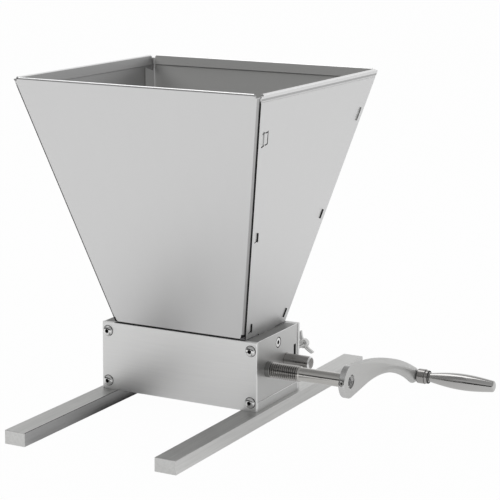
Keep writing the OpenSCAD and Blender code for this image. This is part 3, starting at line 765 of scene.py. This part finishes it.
class GRAINMILL_OT_hopper(bpy.types.Operator):
    """Dresses the four sheet panels with painted shade on cut edges, slits, folds and insides, and painted
    highlights on rims
    """

    bl_idname = "grainmill.hopper"
    bl_label = "Hopper"

    # The foot in millimetres and the slopes of the walls
    foot_x = 65.9
    foot_z = 74.8
    side_slope = math.radians(13.28)
    front_slope = math.radians(18.69)
    # Heights in metres of the rims' foot, the crease over it and the foot of the highest tabs
    rim_z = 288 * MM
    crease = (291.7 * MM, 293.5 * MM)
    high_tab_z = 240 * MM
    # Areas of the walls of a slot, the edges of a tab, and the strips of rims and folds
    slot_area = 3 * SQUARE_MM
    tab_area = 20 * SQUARE_MM
    strip_area = 30 * SQUARE_MM
    fold_area = 140 * SQUARE_MM
    # The slots of the front tabs, and the slits beside each: start from the slot, way and length,
    # in millimetres along and up the panel
    slit_width = 1.2
    slit_depth = 4.0
    low_slits = (((1.3, -2.8), (-3.6, -1.5), 4.6),)
    high_slits = (((4.4, 6.7), (0.31, -0.95), 12.3),
                  ((4.6, 5.6), (-10.2, -1.1), 9.0),
                  ((8.4, -4.8), (-10.2, -2.1), 10.4))
    slots = (((-91.0, 189.0), high_slits), ((-61.4, 98.9), low_slits), ((-32.0, 9.8), low_slits))

    def execute(self, context):
        for node, side in (("hopper_left", -1), ("hopper_right", 1)):
            self.side_panel(node, side)
        for node, side in (("hopper_front", -1), ("hopper_back", 1)):
            self.folded_panel(node, side)
        return {"FINISHED"}

    def side_panel(self, node, side):
        """A side panel with its slots, and the slits that let the front tongues spring."""
        outward = Vector((side * math.cos(self.side_slope), 0, -math.sin(self.side_slope)))
        crease_foot, crease_top = self.crease
        flat = self.flat_test(outward)
        # Painted shade inside, along the crease and in the cut edges, a painted sheen on the hem band and a
        # painted highlight on the rolled rim
        panel = marked_copy(
            node, [((0, 0, z), (0, 0, 1)) for z in self.crease],
            inner_side=lambda face: face.normal.dot(outward) < -FACING,
            hem_sheet=lambda face: flat(face) and face.center.z > crease_top,
            fold_shade=lambda face: flat(face) and crease_foot < face.center.z < crease_top,
            cut_edge=self.side_cut,
            rim_polish=self.rim_test(outward, Vector((0, 1, 0)), 5, 165))
        for slot, slits in self.slots:
            for start, way, length in slits:
                self.slit(panel, side, Vector(slot) + Vector(start), Vector(way), length)
        dress(smooth(panel), node)

    def slit(self, panel, side, start, way, length):
        """A narrow cut through the sheet from a place on it, in millimetres along and up the panel."""
        tool = put(added(bpy.ops.mesh.primitive_cube_add, size=1),
                   scale=(length, self.slit_width, self.slit_depth))
        middle_spot = start + way.normalized() * length / 2
        turn = math.atan2(way.y, way.x)
        local = Matrix.Translation((middle_spot.x, middle_spot.y, 0)) @ Matrix.Rotation(turn, 4, "Z")
        wall = Matrix.Translation((self.foot_x, 0, self.foot_z)) @ Matrix.Rotation(self.side_slope, 4, "Y")
        wall = wall @ Matrix.Rotation(math.pi / 2, 4, "Z") @ Matrix.Rotation(math.pi / 2, 4, "X")
        flip = Matrix.Diagonal((side, 1, 1, 1))
        tool.data.transform(Matrix.Diagonal((MM, MM, MM, 1)) @ flip @ wall @ local)
        merge(tool, 1e-7)
        # The slit's walls take near-black painted shade
        carve(panel, paint(tool, "cut_edge"))

    def folded_panel(self, node, side):
        """A front or back panel with its folded flanges and their tabs."""
        outward = Vector((0, side * math.cos(self.front_slope), -math.sin(self.front_slope)))
        rim_line = Vector(ALONG_X)
        foot_line = (self.foot_z + 1.0) * MM
        flange_line = (self.foot_z + 5.0) * MM
        flange_facing = 0.93
        flat = self.flat_test(outward)
        shaded = self.rim_test(outward, rim_line, 12, 40)
        folded = self.fold_test(outward)
        # Painted shade inside, at the flanges' feet, in cut edges and on folds and rim strips, a near-black
        # painted shadow along the foot, and a painted highlight on the rolled rim
        carry_over(
            node, [((0, 0, z), (0, 0, 1)) for z in (foot_line, flange_line)],
            inner_sheet=lambda face: face.normal.dot(outward) < -FACING,
            thread_root=lambda face: abs(face.normal.x) > flange_facing and face.center.z < flange_line,
            cut_edge=lambda face: self.tab_cut(face) or (flat(face) and face.center.z < foot_line),
            rim_polish=self.rim_test(outward, rim_line, 40, 165),
            fold_shade=lambda face: shaded(face) or folded(face))

    def flat_test(self, outward):
        """Tells the outer faces of a wall."""
        return lambda face: face.normal.dot(outward) > FLUSH

    def side_cut(self, face):
        """Upright edges of a side panel and the walls of its slots."""
        slot_wall = face.area < self.slot_area and abs(face.normal.x) < 0.5
        return (abs(face.normal.y) > FACING or slot_wall) and face.center.z < self.rim_z

    def tab_cut(self, face):
        """Ends and sides of the tabs and ends of the folds, but not the end of the highest front tabs."""
        high_end = abs(face.normal.x) > 0.7 and face.center.z > self.high_tab_z and face.center.y < 0
        return face.area < self.tab_area and face.center.z < self.rim_z and not high_end

    def rim_test(self, outward, along, start, stop):
        """Tells the strips of the rolled rim that are turned from the wall's face by a range of angles."""
        def test(face):
            turned_by = math.degrees(face.normal.angle(outward))
            level = abs(face.normal.dot(along)) < 0.1
            return level and face.normal.z > 0 and start < turned_by < stop and face.area > self.strip_area
        return test

    def fold_test(self, outward):
        """Tells the strips of a folded corner past its first sixth."""
        def test(face):
            turned_by = math.degrees(face.normal.angle(outward))
            narrow = self.strip_area < face.area < self.fold_area
            return narrow and abs(face.normal.x) > 0.25 and 14 < turned_by < 84
        return test


class GRAINMILL_OT_box(bpy.types.Operator):
    """Dresses the plates of the roller box, the rails under it and the parts inside it"""

    bl_idname = "grainmill.box"
    bl_label = "Roller box"

    # Places in metres of the hopper's foot, the plates' tops and the plates' outer edges
    foot_x = 66 * MM
    foot_y = 36 * MM
    top_z = 70 * MM
    edge_x = 72 * MM
    edge_y = 38.6 * MM
    bevel_area = 70 * SQUARE_MM
    sink_r = 5.5 * MM
    # The slot of the wing screw's nut, in metres
    slot_x = 70 * MM
    slot_y = 30 * MM
    slot_half = 8 * MM
    slot_area = 130 * SQUARE_MM
    plain_nodes = ("rail_bolts", "hopper_nuts", "lock_nuts", "drive_roller", "idle_roller",
                   "drive_bush_left", "drive_bush_right", "idle_bush_left", "idle_bush_right")

    def execute(self, context):
        # A near-black painted shadow on the front plate's top under the hopper, and painted highlights on the
        # bevels
        carry_over("front_plate", [((x, 0, 0), ALONG_X) for x in (-self.foot_x, self.foot_x)],
                   cut_edge=lambda face: self.top_edge(face) and abs(face.center.x) < self.foot_x,
                   rim_polish=self.broken_edge)
        # Painted highlights on the bevels
        carry_over("back_plate", rim_polish=self.broken_edge)
        # Painted shade on the tops beside the hopper, in the countersink and in the nut's slot, and painted
        # highlights on the bevels
        for node in ("end_plate_left", "end_plate_right"):
            carry_over(node, [((0, self.foot_y, 0), (0, 1, 0))],
                       shaded_top=lambda face: self.top_edge(face) and face.center.y < self.foot_y,
                       rim_polish=self.broken_edge, cut_edge=self.countersink, thread_root=self.nut_slot)
        # Painted shade on the rails' inner sides and near-black painted shade on their bevels
        for node in ("base_rail_left", "base_rail_right"):
            carry_over(node, rail_side=self.inner_side, cut_edge=self.inner_edge)
        for node in self.plain_nodes:
            carry_over(node)
        return {"FINISHED"}

    def inner_side(self, face):
        """The sides of the rails that face each other, which take painted shade."""
        return abs(face.normal.x) > FACING and face.normal.x * face.center.x < 0

    def inner_edge(self, face):
        """The upper bevels on those sides."""
        sloped = 0.5 < abs(face.normal.x) < FACING and face.normal.z > 0.5
        return sloped and face.normal.x * face.center.x < 0

    def top_edge(self, face):
        return face.normal.z > FACING and face.center.z > self.top_z

    def broken_edge(self, face):
        """Narrow bevels along the outer edges of a plate."""
        sloped = max(abs(part) for part in face.normal) < FACING
        outside = abs(face.center.x) > self.edge_x or abs(face.center.y) > self.edge_y
        return sloped and outside and face.area < self.bevel_area

    def countersink(self, face):
        """Walls of the countersunk screw hole."""
        return off_line(face, SCREW_Y * MM, SCREW_Z * MM) < self.sink_r and abs(face.normal.x) < 0.95

    def nut_slot(self, face):
        """Walls of the slot that holds the wing screw's nut."""
        near = face.center.y > self.slot_y and abs(face.center.z - LOCK_Z * MM) < self.slot_half
        wall = abs(face.normal.x) < 0.5 and abs(face.center.x) > self.slot_x
        return near and wall and face.area < self.slot_area


class GRAINMILL_OT_screws(bpy.types.Operator):
    """Turns the button screws of the plates and the countersunk screws of the hopper"""

    bl_idname = "grainmill.screws"
    bl_label = "Screws"

    # Sizes in millimetres that both kinds share
    shank_r = 2.5
    socket_depth = 1.8

    def execute(self, context):
        self.button_screws("front_plate_screws", math.pi / 2)
        self.button_screws("back_plate_screws", -math.pi / 2)
        self.sunk_screws()
        return {"FINISHED"}

    def socket(self, head, swing):
        """A six-sided cutter for a head that ends at a place along X, swung about Z."""
        corner_r = settings().sizes.socket / MM / math.sqrt(3)
        tool = rod((head - self.socket_depth, 0, 0), ALONG_X, corner_r, 2 * self.socket_depth, 6)
        # The socket's walls take near-black painted shade
        return put(paint(tool, "cut_edge"), rotation_euler=(0, 0, swing))

    def button_screws(self, node, swing):
        head_r = 4.75
        head_h = 2.8
        tip = -14.0
        dome = [(head_h - 0.1 - (head_h - 0.9) * (1 - math.cos(a)), 1.2 + (head_r - 1.5) * math.sin(a))
                for a in [math.radians(10 * i) for i in range(10)]]
        profile = [(tip, 0), (tip, self.shank_r - 0.5), (tip + 0.5, self.shank_r), (0, self.shank_r),
                   (0, head_r + 0.6), (0.2, head_r + 0.5), (0.25, head_r - 0.4), (0.7, head_r - 0.1)]
        profile += dome[::-1] + [(head_h, 1.0), (head_h, 0)]
        first = paint(turned(profile), node_finish(node))
        # A near-black ring of painted shadow where the head meets the plate
        mark(first, cut_edge=lambda face: -0.05 < face.center.x < 0.5)
        carve(put(first, rotation_euler=(0, 0, -swing)), self.socket(head_h, -swing))
        front, back = ends(node, 1)
        bottom, top = ends(node, 2)
        plate_y = front + head_h if swing > 0 else back - head_h
        across = ends(node)[1] - head_r
        heads = []
        for x in (-across, across):
            for z in (bottom + head_r, top - head_r):
                heads.append(put(copied(first), location=(x, plate_y, z)))
        bpy.data.objects.remove(first)
        finished(join(heads), node)

    def sunk_screws(self):
        node = "hopper_screws"
        top = ends(node)[1]
        tip = 59.7
        head_r = 4.15
        profile = [(tip, 0), (tip, self.shank_r - 0.5), (tip + 0.5, self.shank_r), (top - 2.2, self.shank_r),
                   (top - 0.5, head_r), (top - 0.2, head_r), (top - 0.05, 4.0), (top - 0.05, 0)]
        pair = []
        for swing in (0, math.pi):
            screw = paint(turned(profile, swing=swing), node_finish(node))
            carve(screw, self.socket(top, swing))
            pair.append(put(screw, location=(0, SCREW_Y, SCREW_Z)))
        finished(join(pair), node)


class GRAINMILL_OT_drive(bpy.types.Operator):
    """Turns the drive shaft with its thread, and the eccentric adjusting axle"""

    bl_idname = "grainmill.drive"
    bl_label = "Drive shaft and axle"

    def execute(self, context):
        self.drive_shaft()
        self.gap_axle()
        return {"FINISHED"}

    def drive_shaft(self):
        """A turned shaft with a plain neck, a thread, a thinner shank and a centred end."""
        node = "drive_shaft"
        left, right = ends(node)
        neck_x = 76.5
        thread_x = 83.5
        shank_x = 110.0
        journal = 7.0
        shank = 6.0
        root = 5.9
        centre_r = 3.7
        centre_depth = 2.0
        floor_x = right - centre_depth
        profile = [(left + 3, 0), (left + 2.4, 0.8), (left + 0.8, 0.8), (left, 1.7), (left, journal - 0.8),
                   (left + 0.8, journal), (neck_x, journal), (thread_x - 2.0, journal),
                   (thread_x - 1.6, journal - 0.5), (thread_x - 1.6, root - 0.2), (shank_x - 2.4, root - 0.2),
                   (shank_x - 1.4, journal - 0.25), (shank_x - 0.9, journal - 0.25), (shank_x, shank),
                   (right - 0.8, shank), (right, shank - 0.8),
                   (right, centre_r), (floor_x, centre_r - 0.2), (floor_x, 0)]
        body = turned(profile)
        thread = threaded(thread_x - 1.5, shank_x - 1.2, journal, root, settings().sizes.pitch / MM)
        for piece in (body, thread):
            paint(piece, node_finish(node))
        # Painted shade on the neck and the centre hole's floor, painted highlights on the end's chamfers, and
        # the end face painted lighter than the shaft
        mark(body, thread_flank=lambda face: neck_x - 0.5 < face.center.x < thread_x - 1,
             hub_rim=lambda face: face.center.x > right - 0.05,
             cut_edge=lambda face: abs(face.center.x - floor_x) < 0.05,
             rim_polish=lambda face: (abs(face.center.x - (floor_x + right) / 2) < 0.05
                                      or right - 0.7 < face.center.x < right - 0.05))
        # Painted shade on the thread: darker flanks and near-black roots
        mark(thread, axle_steel=lambda face: off_line(face) < journal - 0.2,
             thread_root=lambda face: off_line(face) < root + 0.2)
        finished(put(join([body, thread]), location=(0, DRIVE_Y, AXIS_Z)), node)

    def gap_axle(self):
        """Two journals and a stub on one line, and the core that the idle roller runs on beside it."""
        node = "gap_axle"
        left, right = ends(node)
        stub_x = 77.7
        core_x = 65.5
        core = 8
        seat = 6.5
        stub = 6.0
        line = turned([(left, 0), (left, seat - 1.2), (left + 1.2, seat), (stub_x, seat), (stub_x, stub),
                       (right - 1.3, stub), (right - 0.9, stub - 0.15), (right, stub - 1.2), (right, 0)],
                      (0, AXLE_Y, AXIS_Z))
        throw = turned([(-core_x, 0), (-core_x, core - 0.4), (-core_x + 0.4, core), (core_x - 0.4, core),
                        (core_x, core - 0.4), (core_x, 0)], (0, AXLE_Y, IDLE_Z))
        axle = paint(join([line, throw]), node_finish(node))
        # A painted highlight on the stub's end chamfer
        mark(axle, rim_polish=lambda face: right - 1.2 < face.center.x < right - 0.05)
        finished(axle, node)


class GRAINMILL_OT_lock_screws(bpy.types.Operator):
    """Models the wing screws that lock the adjusting axle"""

    bl_idname = "grainmill.lock_screws"
    bl_label = "Wing screws"

    # Each step that draws a wing out: forward and outward in millimetres, and shares of width and thickness
    wing_steps = ((1.4, 2.2, 0.95, 0.85), (1.9, 2.3, 1.1, 1.0), (1.6, 1.9, 0.95, 1.0), (0.4, 0.8, 0.7, 0.85))

    def execute(self, context):
        self.wing_screw("wing_screw_right", 1)
        self.wing_screw("wing_screw_left", -1)
        return {"FINISHED"}

    def wing_screw(self, node, side):
        tip = ends(node, 1)[0]
        hub = 61.0
        hub_r = 4.25
        crest = 2.48
        root = 2.03
        wing_turn = math.radians(56)
        dome = turned([(hub, 0), (hub, 3.4), (hub + 0.5, 4.1), (hub + 1.0, hub_r), (hub + 5.4, hub_r),
                       (hub + 6.3, 4.0), (hub + 7.1, 3.2), (hub + 7.7, 1.8), (hub + 8, 0)])
        point = turned([(tip, 0), (tip, 1.5), (tip + 0.6, 2.1), (tip + 1.2, 2.1), (tip + 1.2, 0)])
        shank = threaded(tip + 1, hub + 0.5, crest, root, settings().sizes.fine_pitch / MM, steps=24)
        wings = [self.wing(hub, turn) for turn in (wing_turn, wing_turn + math.pi)]
        screw = put(join([dome, point, shank] + wings), rotation_euler=(0, 0, math.pi / 2))
        if side < 0:
            merge(put(screw, scale=(-1, 1, 1)), 0.0005)
        finished(put(screw, location=(side * LOCK_X, 0, LOCK_Z)), node, 40)

    def wing(self, hub, turn):
        """One wing about X: a block drawn out in steps and rounded by subdivision."""
        wing = put(added(bpy.ops.mesh.primitive_cube_add, size=1),
                   scale=(6.2, 3.8, 3.2), location=(hub + 3.4, 0, 3.0))
        for forward, outward, width, thick in self.wing_steps:
            edit_all(wing)
            bpy.ops.mesh.select_all(action="DESELECT")
            close_edit()
            top = max(wing.data.polygons, key=lambda face: face.center.z)
            top.select = True
            make_active(wing)
            bpy.ops.object.mode_set(mode="EDIT")
            bpy.ops.mesh.extrude_region_move(TRANSFORM_OT_translate={"value": (forward, 0, outward)})
            bpy.ops.transform.resize(value=(width, thick, 1))
            close_edit()
        apply_modifier(wing, "SUBSURF", levels=3, render_levels=3)
        return put(wing, rotation_euler=(math.pi / 2 + turn, 0, 0))


class GRAINMILL_OT_crank(bpy.types.Operator):
    """Lofts the crank arm from its flat round hub to its oval end, and turns the grip"""

    bl_idname = "grainmill.crank"
    bl_label = "Crank"

    # Millimetres: straight length, reach and drop of the arm, its hub, and bores
    lead = 30.0
    reach = 143.0
    drop = 30.0
    hub_r = 14.5
    hub_half = 2.8
    rim_r = 12
    shaft_bore = 6.05
    spindle_bore = 2.51
    grip_bore = 2.65
    screw_bore = 2.05
    seat_r = 2.5
    seat_place = 13.3

    def execute(self, context):
        self.arm()
        # The set screw takes painted shade
        carry_over("crank_set_screw")
        self.spindle()
        self.ferrule()
        self.grip()
        return {"FINISHED"}

    def arm(self):
        """Its sections pass from flat to oval, which no operator gives, so code places its rings."""
        node = "crank_arm"
        mesh = bpy.data.meshes.new(node)
        shell = bmesh.new()
        rings = [[shell.verts.new(point) for point in ring] for ring in self.arm_rings()]
        for first, second in zip(rings, rings[1:]):
            for k in range(len(first)):
                n = (k + 1) % len(first)
                shell.faces.new((first[k], first[n], second[n], second[k]))
        shell.faces.new(rings[-1])
        shell.to_mesh(mesh)
        shell.free()
        arm = merge(linked(node, mesh), 0.01)
        hub = Vector((ARM_X, DRIVE_Y, AXIS_Z))
        paint(put(arm, location=hub), node_finish(node))
        behind = ARM_X - 20
        tilt = math.radians(5)
        outward = Vector((0, -math.cos(tilt), math.sin(tilt)))
        carve(arm, paint(rod((behind, DRIVE_Y, AXIS_Z), ALONG_X, self.shaft_bore, 40, 72), "hub_rim"))
        # Near-black painted shade in the set screw's hole and its seat
        carve(arm, paint(rod(hub, outward, self.screw_bore, 30), "cut_edge"))
        carve(arm, paint(rod(hub + outward * self.seat_place, outward, self.seat_r, 20), "cut_edge"))
        carve(arm, paint(rod((behind, GRIP_Y, GRIP_Z), ALONG_X, self.spindle_bore, 40), node_finish(node)))
        mark(arm, hub_rim=self.hub_rim)
        finished(arm, node, 30)

    def hub_rim(self, face):
        """The round rim of the hub in front of the shaft."""
        outer = off_line(face, DRIVE_Y, AXIS_Z) > self.rim_r
        return outer and face.center.y < DRIVE_Y and abs(face.normal.x) < 0.8

    def arm_rings(self):
        """Rings of points about the hub and along the arm, in X out from it, Y and Z."""
        span = self.reach - self.lead
        radius = (span * span + self.drop * self.drop) / (2 * self.drop)
        length = self.lead + radius * math.asin(span / radius)
        edge = settings().sizes.hub_edge / MM
        hub_steps = 16
        arm_steps = 80
        end_half = 7.5
        rings = []
        for i in range(hub_steps):
            ray = math.radians(180 - 90 * i / hub_steps)
            up = Vector((math.cos(ray), math.sin(ray)))
            down = Vector((math.cos(ray), -math.sin(ray)))
            rings.append(self.ring(Vector((0, 0)), up, down, self.hub_r, self.hub_half, edge, edge))
        stations = [length * i / arm_steps for i in range(arm_steps + 1)]
        stations += [length + end_half * math.sin(math.radians(9 * i)) for i in range(1, 11)]
        for s in stations:
            along = min(s, length)
            bend = max(along - self.lead, 0) / radius
            centre = Vector((min(along, self.lead) + radius * math.sin(bend), -radius * (1 - math.cos(bend))))
            centre += Vector((math.cos(bend), -math.sin(bend))) * (s - along)
            up = Vector((math.sin(bend), math.cos(bend)))
            cap = math.sqrt(max(1 - ((s - along) / end_half) ** 2, 0.0004))
            share = along / length
            taper = 8.2 * max(1 - share / 0.62, 0) ** 1.5
            flare = 1.2 * max((share - 0.68) / 0.32, 0) ** 2
            width = (6.3 + taper + flare) * cap
            thick = (self.hub_half + 2.7 * self.ease((share - 0.25) / 0.6)) * max(cap, 0.35)
            oval = self.ease((share - 0.08) / 0.6)
            ease_w = edge + (width - edge) * oval if width > edge else width
            ease_t = min(edge + (thick - edge) * oval, thick)
            rings.append(self.ring(centre, up, -up, width, thick, ease_w, ease_t))
        return rings

    def ease(self, t):
        t = min(max(t, 0), 1)
        return t * t * (3 - 2 * t)

    def ring(self, centre, up, down, width, thick, ease_w, ease_t):
        """Points round a section: its half width and half thickness, and the half axes of its corners."""
        steps = 8
        quarter = []
        for i in range(steps + 1):
            a = math.radians(90 * i / steps)
            quarter.append((thick - ease_t + ease_t * math.cos(a), width - ease_w + ease_w * math.sin(a)))
        half = [(thick, 0)] + quarter + [(-out, across) for out, across in reversed(quarter)]
        points = half + [(-out, -across) for out, across in half]
        places = []
        for out, across in points:
            spot = centre + (up * across if across >= 0 else down * -across)
            places.append(Vector((out, spot.x, spot.y)))
        return places

    def spindle(self):
        node = "grip_spindle"
        back, front = ends(node)
        face = ends("crank_arm")[1]
        pin = 2.5
        collar = 4.75
        profile = [(back, 0), (back + 0.1, 1.6), (back + 0.45, 2.9), (back + 1.2, 4.0), (back + 1.2, pin),
                   (face + 3.6, pin), (face + 3.6, collar - 0.3), (face + 3.9, collar), (face + 5.3, collar),
                   (face + 5.6, collar - 0.3), (face + 5.6, pin), (front - 0.6, pin), (front, 1.9),
                   (front, 0)]
        finished(turned(profile, (0, GRIP_Y, GRIP_Z)), node)

    def ferrule(self):
        node = "grip_ferrule"
        back, front = ends(node)
        r = 6.75
        bore = self.grip_bore
        inner = 5.05
        profile = [(back, bore), (back, r - 0.7), (back + 0.2, r - 0.25), (back + 0.7, r), (front - 3.7, r),
                   (front - 3.2, r - 0.15), (front - 2.5, r - 0.6), (front - 0.7, r - 0.6),
                   (front - 0.2, r - 0.8), (front, r - 1.25), (front, inner), (back + 3, inner),
                   (back + 3, bore), (back, bore)]
        ferrule = paint(turned(profile, (0, GRIP_Y, GRIP_Z)), node_finish(node))
        # Dark painted shade in the ferrule's grooves
        mark(ferrule, thread_root=lambda face: self.groove(face.center.x, back, front))
        finished(ferrule, node)

    def groove(self, x, back, front):
        """Grooves that take painted shade: at the arm, at the step and at the grip."""
        return x < back + 0.75 or front - 3.75 < x < front - 2.9 or x > front - 0.75

    def grip(self):
        node = "crank_grip"
        neck = 3
        neck_r = 4.75
        foot, stop = ends(node)
        start = foot + neck
        round_r = 2.0
        steps = 48
        bore = self.grip_bore
        body = stop - round_r - start
        swell = [(start + body * i / steps, self.grip_radius(i / steps)) for i in range(steps + 1)]
        nose = [(stop - round_r + round_r * math.sin(a), 3.25 + round_r * math.cos(a))
                for a in [math.radians(10 * i) for i in range(1, 9)]]
        hollow = ends("grip_spindle")[1] + 1
        profile = [(start - neck, bore), (start - neck, neck_r), (start, neck_r)] + swell + nose
        profile += [(stop, 2.4), (stop, 0), (hollow, 0), (hollow, bore), (start - neck, bore)]
        finished(turned(profile, (0, GRIP_Y, GRIP_Z)), node)

    def grip_radius(self, t):
        """The grip's radius by its share of the length, widest just past the middle."""
        peak = 0.54
        if t < peak:
            return 4.0 + 3.5 * math.sin(math.pi / 2 * t / peak)
        return 5.25 + 2.25 * math.cos(math.pi / 2 * (t - peak) / (1 - peak))


class GRAINMILL_PT_sidebar(bpy.types.Panel):
    """Lists the pieces and their settings in the sidebar"""

    bl_idname = "GRAINMILL_PT_sidebar"
    bl_label = "Grain Mill"
    bl_space_type = "VIEW_3D"
    bl_region_type = "UI"
    bl_category = "Grain Mill"

    def draw(self, context):
        for operator in PIECES:
            self.layout.operator(operator.bl_idname)
        for group in (settings().sizes, settings().finish):
            box = self.layout.box()
            for key in group.__annotations__:
                box.prop(group, key)


PIECES = (GRAINMILL_OT_stage, GRAINMILL_OT_hopper, GRAINMILL_OT_box, GRAINMILL_OT_screws,
          GRAINMILL_OT_drive, GRAINMILL_OT_lock_screws, GRAINMILL_OT_crank)
CLASSES = (GrainMillSizes, GrainMillFinish, GrainMillSettings) + PIECES + (GRAINMILL_PT_sidebar,)


def register():
    for cls in CLASSES:
        bpy.utils.register_class(cls)
    bpy.types.Scene.grain_mill = PointerProperty(type=GrainMillSettings)


def unregister():
    del bpy.types.Scene.grain_mill
    for cls in reversed(CLASSES):
        bpy.utils.unregister_class(cls)


def main():
    register()
    for operator in PIECES:
        group, name = operator.bl_idname.split(".")
        getattr(getattr(bpy.ops, group), name)()


if __name__ == "__main__":
    main()
